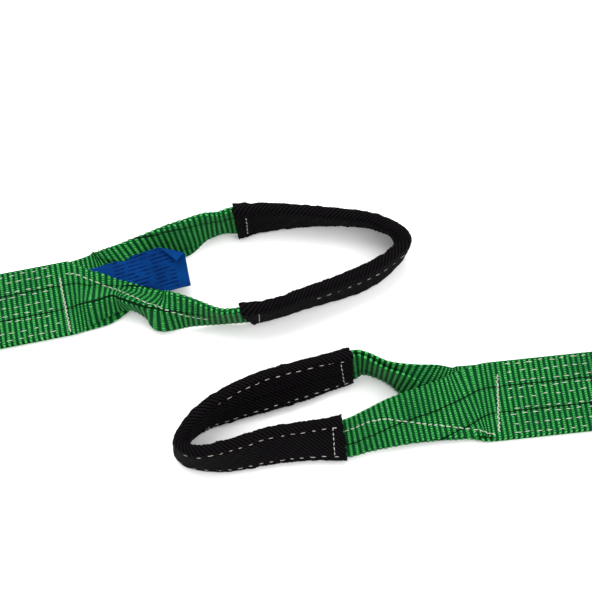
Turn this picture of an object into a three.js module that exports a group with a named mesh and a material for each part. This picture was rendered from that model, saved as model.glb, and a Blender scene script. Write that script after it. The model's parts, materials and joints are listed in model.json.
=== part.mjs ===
// Duplex flat web sling with two reinforced, folded eyes, lying on a level surface.
// Millimetres, +Z up. The sling rests on z = 0.
import * as THREE from 'three'

// ---- driving dimensions ----

const WEB_WIDTH = 60
const PLY_THICKNESS = 2.8
const PLY_GAP = 0.35
const PLY_PITCH = PLY_THICKNESS + PLY_GAP
const STACK_MIDDLE = PLY_THICKNESS + PLY_GAP / 2

const FOLDED_WIDTH = 30
const FOLDED_THICKNESS = 6.4
const SLEEVE_WIDTH = 33.4
const SLEEVE_THICKNESS = 9.4
const SLEEVE_WALL = 1.1
const SLEEVE_LIFT = 2.4

const THREAD_WIDTH = 1.2
const THREAD_THICKNESS = 0.5
const CLEARANCE = 0.35

// The body's loop on the ground: the side runs' centres, the front run's centre, and the turned corners.
const SIDE_RUN_X = 335
const FRONT_RUN_Y = -287
const CORNER_RADIUS = 4.6
const CORNER_STEPS = 6
const DESCENT_LENGTH = 70
const DESCENT_STEPS = 6

// Where each splice bar crosses the body's centre line, and which way the body leaves it.
const BAR_A = { x: -173.5, y: -3, heading: 192.2 }
const BAR_B = { x: 145.5, y: -85.5, heading: 6.4 }
const BAR_TO_HINGE = 12
const BAR_LENGTH = 46
const BAR_WIDTH = 3

// The seams of the body near each eye: distances from the centre line, and the length that is modelled.
const BODY_SEAM_OFFSETS = [-26.5, -16, -5.5, 5.5, 16, 26.5]
const BODY_SEAM_START = 4
const BODY_SEAM_END = 74

const LABEL_WIDTH = 34
const LABEL_THICKNESS = 0.5

// Moves the outline's middle onto the origin.
const PLAN_OFFSET = { x: 0.06, y: 125.17 }

const WEBBING_COLOUR = 0x1f9a45
const SLEEVE_COLOUR = 0x141214
const THREAD_COLOUR = 0xe6e2da
const LABEL_COLOUR = 0x0a4fa8

// ---- the eyes' centre lines ----
// A leg's row is [x, y, roll, width, thickness, lift]: the strip's middle in plan, its roll in degrees
// (0 flat with the outer face up, 90 on edge, 180 flat with the outer face down), its section,
// and how far it is held above the ground. A sleeve's row has only the first three, because its
// section stays the same. Rows run from the near leg round the loop to the far leg.

const W = FOLDED_WIDTH
const T = FOLDED_THICKNESS

const EYE_A = {
  bar: BAR_A,
  side: 1,
  nearLeg: [
    [-150, 0.5, 4, 57, 3.0, 6.0],
    [-139, -2, 8, 53, 3.4, 6.5],
    [-126, -7, 14, 47, 4.0, 6.0],
    [-112, -13, 24, 41, 4.8, 4.5],
    [-96, -19.5, 42, 36, 5.6, 1.8],
    [-78, -23, 72, 32, T, 0.8],
    [-58, -24, 96, 31, T, 1.4],
  ],
  sleeve: [
    [-37, -23, 104],
    [-15, -18, 104],
    [5, -10, 102],
    [25, -3, 100],
    [45, 5, 96],
    [60, 12, 92],
    [73, 22, 88],
    [80, 36, 84],
    [73, 49, 76],
    [55, 56, 71],
    [25, 59, 75],
    [0, 60, 82],
    [-24, 59, 91],
    [-46, 56, 103],
  ],
  farLeg: [
    [-58, 53, 105, W, T, 1.2],
    [-70, 50, 110, 31, T, 0.6],
    [-86, 43, 122, 33, T, 0.4],
    [-104, 34, 140, 37, 5.6, 0.4],
    [-122, 25, 158, 43, 4.4, 0.4],
    [-137, 14, 170, 51, 3.6, 0.2],
    [-150, 5, 177, 57, 3.0, 0.2],
  ],
}

const EYE_B = {
  bar: BAR_B,
  side: -1,
  nearLeg: [
    [122, -88.5, 4, 57, 3.0, 6.5],
    [112, -91.5, 8, 53, 3.4, 7.5],
    [96, -97, 16, 46, 4.2, 8.0],
    [75, -105, 30, 38, 5.4, 4.5],
    [53, -113, 46, 32, T, 1.6],
  ],
  sleeve: [
    [33, -118.5, 60],
    [8, -121, 67],
    [-17, -124.5, 75],
    [-34, -128, 82],
    [-52, -132, 88],
    [-67, -133, 91],
    [-79, -124, 92],
    [-76, -112, 92],
    [-65, -103, 94],
    [-52, -96, 98],
    [-39, -90, 103],
    [-18, -83, 108],
    [4, -76, 110],
    [38, -64, 105],
  ],
  farLeg: [
    [52, -61.5, 105, W, T, 1.0],
    [65, -65.5, 110, 31, T, 0.5],
    [77, -71.5, 127, 34, 6, 0.4],
    [92, -78, 157, 41, 5, 0.4],
    [108, -82, 170, 49, 3.8, 0.4],
    [121, -84.8, 176, 55, 3.2, 0.2],
  ],
}

// The label's centre line: [x, y, z, roll].
const LABEL_ROOT = [
  [-147, 5, 7.1, 4],
  [-132, 9, 9.4, 14],
  [-118, 12.5, 12.2, 22],
  [-104, 16, 15.4, 27],
]
const LABEL_FREE_END = [
  [-103.6, 16.1, 15.5, 27],
  [-92, 19, 17.4, 26],
  [-80, 22, 18.6, 24],
]

// ---- small helpers ----

const UP = new THREE.Vector3(0, 0, 1)
const radians = THREE.MathUtils.degToRad

function headingVector(degrees) {
  return new THREE.Vector3(Math.cos(radians(degrees)), Math.sin(radians(degrees)), 0)
}

function leftOf(direction) {
  return new THREE.Vector3().crossVectors(UP, direction).normalize()
}

function smoothStep(x) {
  const t = THREE.MathUtils.clamp(x, 0, 1)
  return t * t * (3 - 2 * t)
}

function crossInPlan(a, b) {
  return a.x * b.y - a.y * b.x
}

function combine(origin, ...terms) {
  const point = origin.clone()
  for (const [vector, amount] of terms) point.addScaledVector(vector, amount)
  return point
}

// A closed solid through a list of rings, each with the same number of points. The caps are the
// triangles that fill a ring, and close both ends.
function solidThrough(rings, caps) {
  const count = rings[0].length
  const positions = rings.flat().flatMap((p) => [p.x, p.y, p.z])
  const faces = []
  for (let ring = 0; ring + 1 < rings.length; ring += 1) {
    for (let k = 0; k < count; k += 1) {
      const a = ring * count + k
      const b = ring * count + ((k + 1) % count)
      faces.push([a, b, b + count], [a, b + count, a + count])
    }
  }
  const last = (rings.length - 1) * count
  for (const [a, b, c] of caps) {
    faces.push([a, c, b], [last + a, last + b, last + c])
  }
  const geometry = new THREE.BufferGeometry()
  geometry.setAttribute('position', new THREE.Float32BufferAttribute(positions, 3))
  geometry.setIndex(orientOutward(faces, positions).flat())
  geometry.computeVertexNormals()
  return geometry
}

function orientOutward(faces, positions) {
  const corner = (index) => new THREE.Vector3().fromArray(positions, index * 3)
  let volume = 0
  for (const [a, b, c] of faces) volume += corner(a).dot(corner(b).cross(corner(c)))
  return volume > 0 ? faces : faces.map(([a, b, c]) => [a, c, b])
}

const QUAD_CAPS = [[0, 1, 2], [0, 2, 3]]

function addMesh(group, name, geometry, colour, roughness) {
  const material = new THREE.MeshStandardMaterial({ color: colour, roughness, metalness: 0 })
  const mesh = new THREE.Mesh(geometry, material)
  mesh.name = name
  group.add(mesh)
  return mesh
}

// ---- the body's course over the ground ----
// A run is a straight length: it starts at a virtual point and leaves along a direction. A corner
// folds the web over its own crease, so the next run lies on this one and its faces change over.

function makeCorner(direction, nextHeading) {
  const next = headingVector(nextHeading)
  const crease = direction.clone().add(next).normalize()
  const ahead = combine(direction, [crease, -direction.dot(crease)]).normalize()
  return { next, crease, ahead, offset: ahead.clone().multiplyScalar(Math.PI * CORNER_RADIUS) }
}

function layOutBody() {
  const start = new THREE.Vector3(BAR_A.x, BAR_A.y, 0)
  const end = new THREE.Vector3(BAR_B.x, BAR_B.y, 0)
  const headings = [BAR_A.heading, 270, 0, 90, BAR_B.heading + 180]
  const corners = []
  for (let k = 0; k < 4; k += 1) corners.push(makeCorner(headingVector(headings[k]), headings[k + 1]))

  const goals = [
    (q, d, c) => (-SIDE_RUN_X - c.offset.x - q.x) / d.x,
    (q, d, c) => (FRONT_RUN_Y - c.offset.y - q.y) / d.y,
    (q, d, c) => (SIDE_RUN_X - c.offset.x - q.x) / d.x,
    (q, d, c) => crossInPlan(end.clone().sub(q).sub(c.offset), c.next) / crossInPlan(d, c.next),
  ]
  const runs = []
  let from = start
  let across = leftOf(headingVector(headings[0]))
  for (let k = 0; k < 5; k += 1) {
    const direction = headingVector(headings[k])
    const corner = corners[k]
    const length = corner ? goals[k](from, direction, corner) : end.clone().sub(from).dot(direction)
    const facing = k % 2 === 0 ? 1 : -1
    const run = { from, direction, across, length, facing, corner, descentStart: 0 }
    if (k > 0) run.descentStart = descentStartOf(run, runs[k - 1])
    runs.push(run)
    if (!corner) break
    corner.at = combine(from, [direction, length])
    from = corner.at.clone().add(corner.offset)
    across = combine(across, [corner.ahead, -2 * across.dot(corner.ahead)])
  }
  return runs
}

// The distance along a run at which its whole width has passed the edge of the run below it.
function descentStartOf(run, below) {
  const sideways = leftOf(below.direction)
  if (sideways.dot(run.direction) < 0) sideways.negate()
  const sine = sideways.dot(run.direction)
  const cosine = Math.abs(run.direction.dot(below.direction))
  const edge = WEB_WIDTH / 2 + (WEB_WIDTH / 2) * cosine + CLEARANCE * 10
  const startOffset = run.from.clone().sub(below.from).dot(sideways)
  return (edge - startOffset) / sine
}

function pointOnRun(run, along, across, normal) {
  const dropped = run.descentStart > 0 ? smoothStep((along - run.descentStart) / DESCENT_LENGTH) : 1
  const height = STACK_MIDDLE + 2 * CORNER_RADIUS * (1 - dropped) + normal * run.facing
  return combine(run.from, [run.direction, along], [run.across, across], [UP, height])
}

function pointOnCorner(run, angle, across, normal) {
  const { crease, ahead, at } = run.corner
  const rise = normal * run.facing
  const past = CORNER_RADIUS * angle
  const along = (past - across * run.across.dot(ahead)) / run.direction.dot(ahead)
  const onCrease = along * run.direction.dot(crease) + across * run.across.dot(crease)
  return combine(
    at,
    [crease, onCrease],
    [ahead, (CORNER_RADIUS - rise) * Math.sin(angle)],
    [UP, STACK_MIDDLE + CORNER_RADIUS - (CORNER_RADIUS - rise) * Math.cos(angle)],
  )
}

function stripRing(place, low, high, bottom, top) {
  return [place(low, bottom), place(high, bottom), place(high, top), place(low, top)]
}

function bodyPly(runs, level) {
  const middle = level * PLY_PITCH / 2
  const ringWith = (place) =>
    stripRing(place, -WEB_WIDTH / 2, WEB_WIDTH / 2, middle - PLY_THICKNESS / 2, middle + PLY_THICKNESS / 2)
  const rings = []
  for (const run of runs) {
    const first = run === runs[0]
    if (first) rings.push(ringWith((u, n) => pointOnRun(run, -BAR_TO_HINGE, u, n)))
    for (let step = 0; step <= (first ? -1 : DESCENT_STEPS); step += 1) {
      const along = run.descentStart + (DESCENT_LENGTH * step) / DESCENT_STEPS
      rings.push(ringWith((u, n) => pointOnRun(run, along, u, n)))
    }
    if (!run.corner) {
      rings.push(ringWith((u, n) => pointOnRun(run, run.length + BAR_TO_HINGE, u, n)))
      break
    }
    for (let step = 0; step <= CORNER_STEPS; step += 1) {
      const angle = (Math.PI * step) / CORNER_STEPS
      rings.push(ringWith((u, n) => pointOnCorner(run, angle, u, n)))
    }
  }
  return solidThrough(rings, QUAD_CAPS)
}

// A flat strip of thread on the body's upper face, on a straight run.
function threadOnRun(run, fromAlong, toAlong, fromAcross, toAcross) {
  const bottom = PLY_PITCH / 2 + PLY_THICKNESS / 2 + CLEARANCE
  const ringAt = (along) =>
    stripRing((u, n) => pointOnRun(run, along, u, n), fromAcross, toAcross, bottom, bottom + THREAD_THICKNESS)
  return solidThrough([ringAt(fromAlong), ringAt(toAlong)], QUAD_CAPS)
}

function addBody(group, runs) {
  addMesh(group, 'body_bottom_ply', bodyPly(runs, -1), WEBBING_COLOUR, 0.8)
  addMesh(group, 'body_top_ply', bodyPly(runs, 1), WEBBING_COLOUR, 0.8)
  const ends = [
    { name: 'a', run: runs[0], bar: 0, away: 1 },
    { name: 'b', run: runs[4], bar: runs[4].length, away: -1 },
  ]
  for (const { name, run, bar, away } of ends) {
    const barGeometry = threadOnRun(
      run, bar - BAR_WIDTH / 2, bar + BAR_WIDTH / 2, -BAR_LENGTH / 2, BAR_LENGTH / 2)
    addMesh(group, `splice_bar_${name}`, barGeometry, THREAD_COLOUR, 0.7)
    BODY_SEAM_OFFSETS.forEach((offset, index) => {
      const seam = threadOnRun(
        run,
        bar + away * BODY_SEAM_START,
        bar + away * BODY_SEAM_END,
        offset - THREAD_WIDTH / 2,
        offset + THREAD_WIDTH / 2,
      )
      addMesh(group, `body_seam_${name}_${index + 1}`, seam, THREAD_COLOUR, 0.7)
    })
  }
}

// ---- the eyes ----

function catmullRom(values, position) {
  const last = values.length - 1
  const k = Math.min(Math.floor(position), last - 1)
  const t = position - k
  const p1 = values[k]
  const p2 = values[k + 1]
  const p0 = k > 0 ? values[k - 1] : 2 * p1 - p2
  const p3 = k + 2 <= last ? values[k + 2] : 2 * p2 - p1
  const bend = (2 * p0 - 5 * p1 + 4 * p2 - p3) * t * t
  return 0.5 * (2 * p1 + (p2 - p0) * t + bend + (3 * p1 - p0 - 3 * p2 + p3) * t * t * t)
}

// The half height that a rolled section takes up.
function restingHeight(width, thickness, roll) {
  return (width * Math.abs(Math.sin(roll)) + thickness * Math.abs(Math.cos(roll))) / 2
}

class Loop {
  constructor(eye) {
    const inward = headingVector(eye.bar.heading).negate()
    const start = combine(new THREE.Vector3(eye.bar.x, eye.bar.y, 0), [inward, BAR_TO_HINGE + CLEARANCE])
    const nearEnd = [start.x, start.y, 0, WEB_WIDTH, PLY_THICKNESS, PLY_PITCH]
    const farEnd = [start.x, start.y, 180, WEB_WIDTH, PLY_THICKNESS, 0]
    const sleeve = eye.sleeve.map((row) => [...row, W, T, SLEEVE_LIFT])
    const rows = [nearEnd, ...eye.nearLeg, ...sleeve, ...eye.farLeg, farEnd]
    this.columns = rows[0].map((_, column) => rows.map((row) => row[column]))
    this.side = eye.side
    this.startDirection = inward
    this.sleeveStart = eye.nearLeg.length + 1
    this.sleeveEnd = this.sleeveStart + eye.sleeve.length - 1
    this.end = rows.length - 1
  }

  sectionAt(position) {
    const [x, y, rollDegrees, width, thickness, lift] = this.columns.map((c) => catmullRom(c, position))
    const roll = radians(rollDegrees)
    const height = restingHeight(width, thickness, roll) + lift
    return { middle: new THREE.Vector3(x, y, height), roll, width, thickness }
  }

  // Both ends leave square to the hinge line, and turn into the loop's own direction by degrees.
  directionAt(position) {
    const reach = 0.25
    const before = this.sectionAt(Math.max(position - reach, 0)).middle
    const after = this.sectionAt(Math.min(position + reach, this.end)).middle
    const along = after.sub(before).normalize()
    const toEnd = Math.min(position, this.end - position)
    const straight = this.startDirection.clone().multiplyScalar(position < toEnd + reach ? 1 : -1)
    return straight.lerp(along, smoothStep(toEnd / END_ROWS)).normalize()
  }

  // The strip's frame: its middle, its width direction and its outward normal.
  frameAt(position) {
    const section = this.sectionAt(position)
    const along = this.directionAt(position)
    const outward = new THREE.Vector3().crossVectors(along, UP).multiplyScalar(this.side).normalize()
    const above = combine(UP, [along, -UP.dot(along)]).normalize()
    const normal = above.multiplyScalar(Math.cos(section.roll)).addScaledVector(outward, Math.sin(section.roll))
    const across = new THREE.Vector3().crossVectors(normal, along).multiplyScalar(this.side).normalize()
    return { ...section, along, normal, across }
  }

  // The position that lies a short distance further along the centre line.
  beyond(position, distance) {
    const step = 0.01
    const speed = this.sectionAt(position + step).middle.distanceTo(this.sectionAt(position - step).middle)
    return position + (distance * 2 * step) / speed
  }

  // A solid that follows the strip. The outline gives the section's corners as [across, out] pairs.
  sweep(from, to, steps, outline, caps) {
    const rings = []
    for (let step = 0; step <= steps; step += 1) {
      const frame = this.frameAt(from + ((to - from) * step) / steps)
      const place = ([u, n]) => combine(frame.middle, [frame.across, u], [frame.normal, n])
      rings.push(outline(frame).map(place))
    }
    return solidThrough(rings, caps)
  }
}

function rectangle(left, right, bottom, top) {
  return [[left, bottom], [right, bottom], [right, top], [left, top]]
}

function stripOutline({ width, thickness }) {
  return rectangle(-width / 2, width / 2, -thickness / 2, thickness / 2)
}

// The sleeve's wall as one outline: round the outside, through a slit at the middle of its inner
// side, and back round the inside. The slit is the open lap of the sleeve.
function sleeveOutline() {
  const w = SLEEVE_WIDTH / 2
  const t = SLEEVE_THICKNESS / 2
  const slit = CLEARANCE / 2
  const iw = w - SLEEVE_WALL
  const it = t - SLEEVE_WALL
  return [
    [slit, -t], [w, -t], [w, t], [-w, t], [-w, -t], [-slit, -t],
    [-slit, -it], [-iw, -it], [-iw, it], [iw, it], [iw, -it], [slit, -it],
  ]
}

const SLEEVE_CAPS = [
  [0, 1, 10], [0, 10, 11], [1, 2, 9], [1, 9, 10], [2, 3, 8], [2, 8, 9],
  [3, 4, 7], [3, 7, 8], [4, 5, 6], [4, 6, 7],
]

const STEPS_PER_ROW = 3
const SLEEVE_STEPS_PER_ROW = 7
const END_ROWS = 3
const SLEEVE_SEAM_OFFSET = 12
const SLEEVE_BAR_INSET = 8
const SLEEVE_BAR_LENGTH = 21
const LEG_SEAM_INSET = 11

function threadOutline(middle, length, surface) {
  const bottom = surface + CLEARANCE
  return rectangle(middle - length / 2, middle + length / 2, bottom, bottom + THREAD_THICKNESS)
}

function addEye(group, name, eye) {
  const loop = new Loop(eye)
  const { sleeveStart, sleeveEnd, end } = loop
  const nearLegEnd = loop.beyond(sleeveStart, -CLEARANCE)
  const farLegStart = loop.beyond(sleeveEnd, CLEARANCE)
  const legSteps = (rows) => rows * STEPS_PER_ROW
  const sleeveSteps = (sleeveEnd - sleeveStart) * SLEEVE_STEPS_PER_ROW
  const add = (piece, geometry, colour, roughness) =>
    addMesh(group, `eye_${name}_${piece}`, geometry, colour, roughness)

  add('near_leg', loop.sweep(0, nearLegEnd, legSteps(sleeveStart), stripOutline, QUAD_CAPS),
    WEBBING_COLOUR, 0.8)
  add('far_leg', loop.sweep(farLegStart, end, legSteps(end - sleeveEnd), stripOutline, QUAD_CAPS),
    WEBBING_COLOUR, 0.8)
  add('folded_web', loop.sweep(sleeveStart, sleeveEnd, sleeveSteps, stripOutline, QUAD_CAPS),
    WEBBING_COLOUR, 0.8)
  add('sleeve', loop.sweep(sleeveStart, sleeveEnd, sleeveSteps, sleeveOutline, SLEEVE_CAPS),
    SLEEVE_COLOUR, 0.9)

  // The stitching that closes the sleeve, on the near arm's outer face.
  const sleeveSurface = SLEEVE_THICKNESS / 2
  const seamStart = loop.beyond(sleeveStart, 2 * SLEEVE_BAR_INSET)
  const seamEnd = (sleeveStart + sleeveEnd) / 2
  for (const [seam, offset] of [['upper', SLEEVE_SEAM_OFFSET], ['lower', -SLEEVE_SEAM_OFFSET]]) {
    const outline = () => threadOutline(offset, THREAD_WIDTH, sleeveSurface)
    add(`sleeve_seam_${seam}`, loop.sweep(seamStart, seamEnd, sleeveSteps / 2, outline, QUAD_CAPS),
      THREAD_COLOUR, 0.7)
  }
  const barOutline = () => threadOutline(0, SLEEVE_BAR_LENGTH, sleeveSurface)
  const nearBar = loop.beyond(sleeveStart, SLEEVE_BAR_INSET)
  add('sleeve_bar_near', loop.sweep(nearBar, loop.beyond(nearBar, THREAD_WIDTH), 1, barOutline, QUAD_CAPS),
    THREAD_COLOUR, 0.7)
  const farBar = loop.beyond(sleeveEnd, -SLEEVE_BAR_INSET)
  add('sleeve_bar_far', loop.sweep(loop.beyond(farBar, -THREAD_WIDTH), farBar, 1, barOutline, QUAD_CAPS),
    THREAD_COLOUR, 0.7)

  // The stitching that holds the near leg's tucked half, from the bar's free edge across the leg.
  const crossing = (frame) => {
    const share = smoothStep(frame.roll / radians(eye.sleeve[0][2]))
    const free = -eye.side * (frame.width / 2 - LEG_SEAM_INSET)
    return threadOutline(free * (2 * share - 1), THREAD_WIDTH, frame.thickness / 2)
  }
  add('leg_seam', loop.sweep(1, nearLegEnd, legSteps(sleeveStart - 1), crossing, QUAD_CAPS),
    THREAD_COLOUR, 0.7)
}

// ---- the label ----

function labelPiece(rows) {
  const rings = rows.map(([x, y, z, roll], index) => {
    const before = rows[Math.max(index - 1, 0)]
    const after = rows[Math.min(index + 1, rows.length - 1)]
    const along = new THREE.Vector3(after[0] - before[0], after[1] - before[1], 0).normalize()
    const left = leftOf(along)
    const across = left.clone().multiplyScalar(Math.cos(radians(roll))).addScaledVector(UP, Math.sin(radians(roll)))
    const normal = new THREE.Vector3().crossVectors(along, across)
    const half = LABEL_WIDTH / 2
    const place = (u, n) => combine(new THREE.Vector3(x, y, z), [across, u], [normal, n])
    return stripRing(place, -half, half, -LABEL_THICKNESS / 2, LABEL_THICKNESS / 2)
  })
  return solidThrough(rings, QUAD_CAPS)
}

// ---- the assembly ----

const sling = new THREE.Group()
addBody(sling, layOutBody())
addEye(sling, 'a', EYE_A)
addEye(sling, 'b', EYE_B)
addMesh(sling, 'label', labelPiece(LABEL_ROOT), LABEL_COLOUR, 0.6)
addMesh(sling, 'label_free_end', labelPiece(LABEL_FREE_END), LABEL_COLOUR, 0.6)
sling.position.set(PLAN_OFFSET.x, PLAN_OFFSET.y, 0)

export default sling
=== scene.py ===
import json
import math

import bpy
import numpy as np
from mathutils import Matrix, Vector


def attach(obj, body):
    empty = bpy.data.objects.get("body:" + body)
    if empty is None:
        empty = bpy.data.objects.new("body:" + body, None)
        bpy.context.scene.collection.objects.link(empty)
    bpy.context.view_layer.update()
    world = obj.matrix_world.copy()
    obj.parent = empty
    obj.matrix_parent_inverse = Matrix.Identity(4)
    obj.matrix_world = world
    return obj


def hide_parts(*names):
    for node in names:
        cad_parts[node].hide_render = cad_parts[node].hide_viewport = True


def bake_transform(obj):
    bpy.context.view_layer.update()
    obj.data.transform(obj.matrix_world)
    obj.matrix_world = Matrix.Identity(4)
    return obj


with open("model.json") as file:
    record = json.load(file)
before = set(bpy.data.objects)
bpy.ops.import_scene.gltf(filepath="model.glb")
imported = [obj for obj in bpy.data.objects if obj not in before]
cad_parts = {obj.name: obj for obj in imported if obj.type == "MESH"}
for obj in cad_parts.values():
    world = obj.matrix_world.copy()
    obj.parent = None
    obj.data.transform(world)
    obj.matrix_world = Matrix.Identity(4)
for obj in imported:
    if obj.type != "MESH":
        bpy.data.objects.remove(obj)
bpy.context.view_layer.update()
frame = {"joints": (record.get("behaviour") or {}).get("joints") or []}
draw = np.random.default_rng(7).uniform

MM = 0.001
UP = np.array([0.0, 0.0, 1.0])

# ---- driving dimensions, as in the CAD part ----

WEB_WIDTH = 60.0
PLY_THICKNESS = 2.8
PLY_PITCH = 3.15
STACK_MIDDLE = 2.975
SLEEVE_WIDTH = 33.4
SLEEVE_THICKNESS = 9.4
SLEEVE_WALL = 1.1
SLEEVE_LIFT = 2.4
FOLDED_WIDTH = 30.0
FOLDED_THICKNESS = 6.4
SIDE_RUN_X = 335.0
FRONT_RUN_Y = -287.0
CORNER_RADIUS = 4.6
DESCENT_LENGTH = 70.0
CLEARANCE = 0.35
BAR_TO_HINGE = 12.0
LABEL_WIDTH = 34.0
LABEL_RULE_SPACING = 3.0

BARS = {
    "a": {"at": np.array([-173.5, -3.0, 0.0]), "heading": 192.2},
    "b": {"at": np.array([145.5, -85.5, 0.0]), "heading": 6.4},
}

# How far out on the body each end piece starts, which is past the edge of the camera's view.
END_PIECE_REACH = {"a": 80.0, "b": 100.0}
# The stretch past each bar in which a lifted eye's webbing would bend, though no piece is bent here. The
# legs' course starts with it.
BEND_START = 2.0
BEND_END = 40.0

# ---- the webbing's own structure ----

NOMINAL_RIB_PITCH = 4.0
RIB_HEIGHT = 0.6
BEAD_PITCH = 1.7
BLACK_LINES = (20.0, 40.0)
SELVEDGE_ROUND = 1.4
FLOOR_GAP = 0.1
TWILL_PITCH = 3.1
TWILL_SLANT = 0.9
TWILL_HEIGHT = 0.25

# Short names for the tables of rows below.
W = FOLDED_WIDTH
T = FOLDED_THICKNESS

# A leg's row is [x, y, z, roll, width, thickness, tent]: the middle of the strip, its roll in degrees
# (0 flat, 90 on edge, 180 turned over), how much of the web's width is unfolded, the folded stack's
# thickness, and how steeply the unfolded part is pushed up into a ridge along its second black line.
EYES = {
    "a": {
        "side": 1,
        "near": [
            [-156, -5, 7, 11, 53, 3.2, 40], [-148, -4, 8, 16, 50, 3.4, 50],
            [-135, -3.5, 7.5, 11, 46, 3.8, 64], [-126, -4, 8.5, 28, 42.5, 4.2, 70],
            [-118, -7, 11, 39, 40.5, 4.6, 72], [-106, -13, 13.5, 44, 38.5, 5.0, 60],
            [-100, -18, 13, 37, 35, 5.6, 38], [-89, -19, 16, 60, 32.5, 6.0, 22],
            [-75, -21, 17.5, 80, 31, T, 14], [-55, -23.5, 16.5, 100, 31, T, 0],
        ],
        "sleeve": [
            [-36, -22.5, 100], [-15, -18, 100], [6, -10, 98], [26, -3, 95], [46, 5, 91],
            [62, 14, 93], [73.5, 24, 96], [80.5, 33.5, 97], [74, 47.5, 73], [55.5, 56, 70],
            [26, 59, 74], [0, 59.5, 82], [-24, 58.5, 93], [-46, 55, 102],
        ],
        "far": [
            [-57, 54, 16, 94, W, T, 0], [-70, 49, 16.5, 105, 31, T, 0],
            [-84, 40, 17, 119, 33, T, 12], [-105, 33, 14.5, 125, 37, 5.6, 42],
            [-121, 21.5, 11, 154, 42, 4.4, 26], [-136, 11, 7, 171, 52, 3.4, 6],
            [-149, 4.5, 3, 178, 60, PLY_THICKNESS, 0],
        ],
    },
    "b": {
        "side": -1,
        "near": [
            [134, -86, 7, 3, 54, 3.0, 0], [123, -90, 8.5, 5, 50, 3.2, 0],
            [113, -93.5, 10.5, 13, 46, 3.6, 0], [97, -98, 13, 20, 40, 4.4, 0],
            [73, -104.5, 15, 26, 35, 5.4, 0], [52, -112, 16, 41, 31.5, T, 0],
        ],
        "sleeve": [
            [34, -118, 48], [8, -121, 60], [-17, -124.5, 65], [-34, -129, 71], [-52, -133, 79],
            [-71, -133.5, 90], [-82, -126.5, 87], [-77, -113.5, 86], [-66, -103, 94], [-53, -96, 106],
            [-39, -89.5, 115], [-19, -82, 125], [4, -75, 122], [40, -63.5, 106],
        ],
        "far": [
            [50, -62.5, 18.5, 94, W, T, 0], [65.5, -68.5, 18, 90, 31, T, -5],
            [81.5, -74.5, 17, 111, 34, 6.0, -12], [94.5, -80, 12, 152, 41, 5.0, -8],
            [108, -85, 6.5, 171, 49, 3.8, 0], [121, -86.5, 5, 177, 55, 3.2, 0],
        ],
    },
}

# The label's centre line: [x, y, z, roll].
LABEL_ROWS = [
    [-154, 3, 5.5, 2], [-134, 7, 9.0, 10], [-119, 10, 12.5, 18], [-106, 13, 15.5, 25],
    [-94, 16, 18.0, 26], [-82, 18.5, 19.2, 25],
]
LABEL_BEND_START = [-110, 14.5, 13.5]
LABEL_BEND_END = [-97, 17.8, 16.5]


# ---- small helpers ----


def heading(degrees):
    angle = math.radians(degrees)
    return np.array([math.cos(angle), math.sin(angle), 0.0])


def left_of(direction):
    return np.array([-direction[1], direction[0], 0.0])


def smooth_step(x):
    t = np.clip(x, 0.0, 1.0)
    return t * t * (3 - 2 * t)


def unit(vectors):
    return vectors / np.linalg.norm(vectors, axis=-1, keepdims=True)


def wavy(x, wavelengths, phases):
    """A smooth wobble between about -1 and 1, the same at each run."""
    waves = [np.sin(2 * math.pi * x / wave + phase) for wave, phase in zip(wavelengths, phases)]
    return sum(waves) / len(waves)


def distances_along(points):
    steps = np.linalg.norm(np.diff(points, axis=0), axis=1)
    return np.concatenate([[0.0], np.cumsum(steps)])


def add_object(name, data):
    item = bpy.data.objects.new(name, data)
    bpy.context.scene.collection.objects.link(item)
    return item


def ride_as(piece, body, node):
    """The piece rides this body, and stands for this node."""
    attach(piece, body)
    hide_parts(node)


# The plan's origin in the frame, from the place of eye A's hinge.
HINGE_A = next(j for j in frame["joints"] if j["name"] == "eye_a_lift")
HINGE_A_PLAN = BARS["a"]["at"] - BAR_TO_HINGE * heading(BARS["a"]["heading"])
PLAN_ORIGIN = np.array(HINGE_A["pos_m"]) / MM - HINGE_A_PLAN
PLAN_ORIGIN[2] = 0.0


def in_frame(points):
    return (np.asarray(points, float) + PLAN_ORIGIN) * MM


# ---- camera, light and floor ----

CAMERA_ELEVATION = 65.0
CAMERA_DISTANCE = 1.06
CAMERA_LENS = 85.0
PLAN_MIDDLE = Vector(in_frame(np.zeros(3)))


def make_camera():
    data = bpy.data.cameras.new("camera")
    data.lens = CAMERA_LENS
    data.sensor_width = 36.0
    camera = add_object("camera", data)
    elevation = math.radians(CAMERA_ELEVATION)
    back = Vector((0, -math.cos(elevation), math.sin(elevation)))
    camera.location = PLAN_MIDDLE + back * CAMERA_DISTANCE
    camera.rotation_euler = (-back).to_track_quat("-Z", "Y").to_euler()
    bpy.context.scene.camera = camera


def add_area_light(name, location, size, power):
    data = bpy.data.lights.new(name, "AREA")
    data.shape = "DISK"
    data.size = size
    data.energy = power
    light = add_object(name, data)
    light.location = location
    light.rotation_euler = (PLAN_MIDDLE - Vector(location)).to_track_quat("-Z", "Y").to_euler()


def make_light():
    world = bpy.data.worlds.new("studio")
    bpy.context.scene.world = world
    world.use_nodes = True
    background = world.node_tree.nodes["Background"]
    background.inputs["Color"].default_value = (1.0, 1.0, 1.0, 1.0)
    background.inputs["Strength"].default_value = 1.2
    add_area_light("key", (-0.45, 0.9, 1.6), 1.5, 30.0)
    add_area_light("fill", (0.9, -0.3, 1.7), 1.6, 14.0)
    bpy.context.scene.view_settings.view_transform = "Standard"


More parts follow.
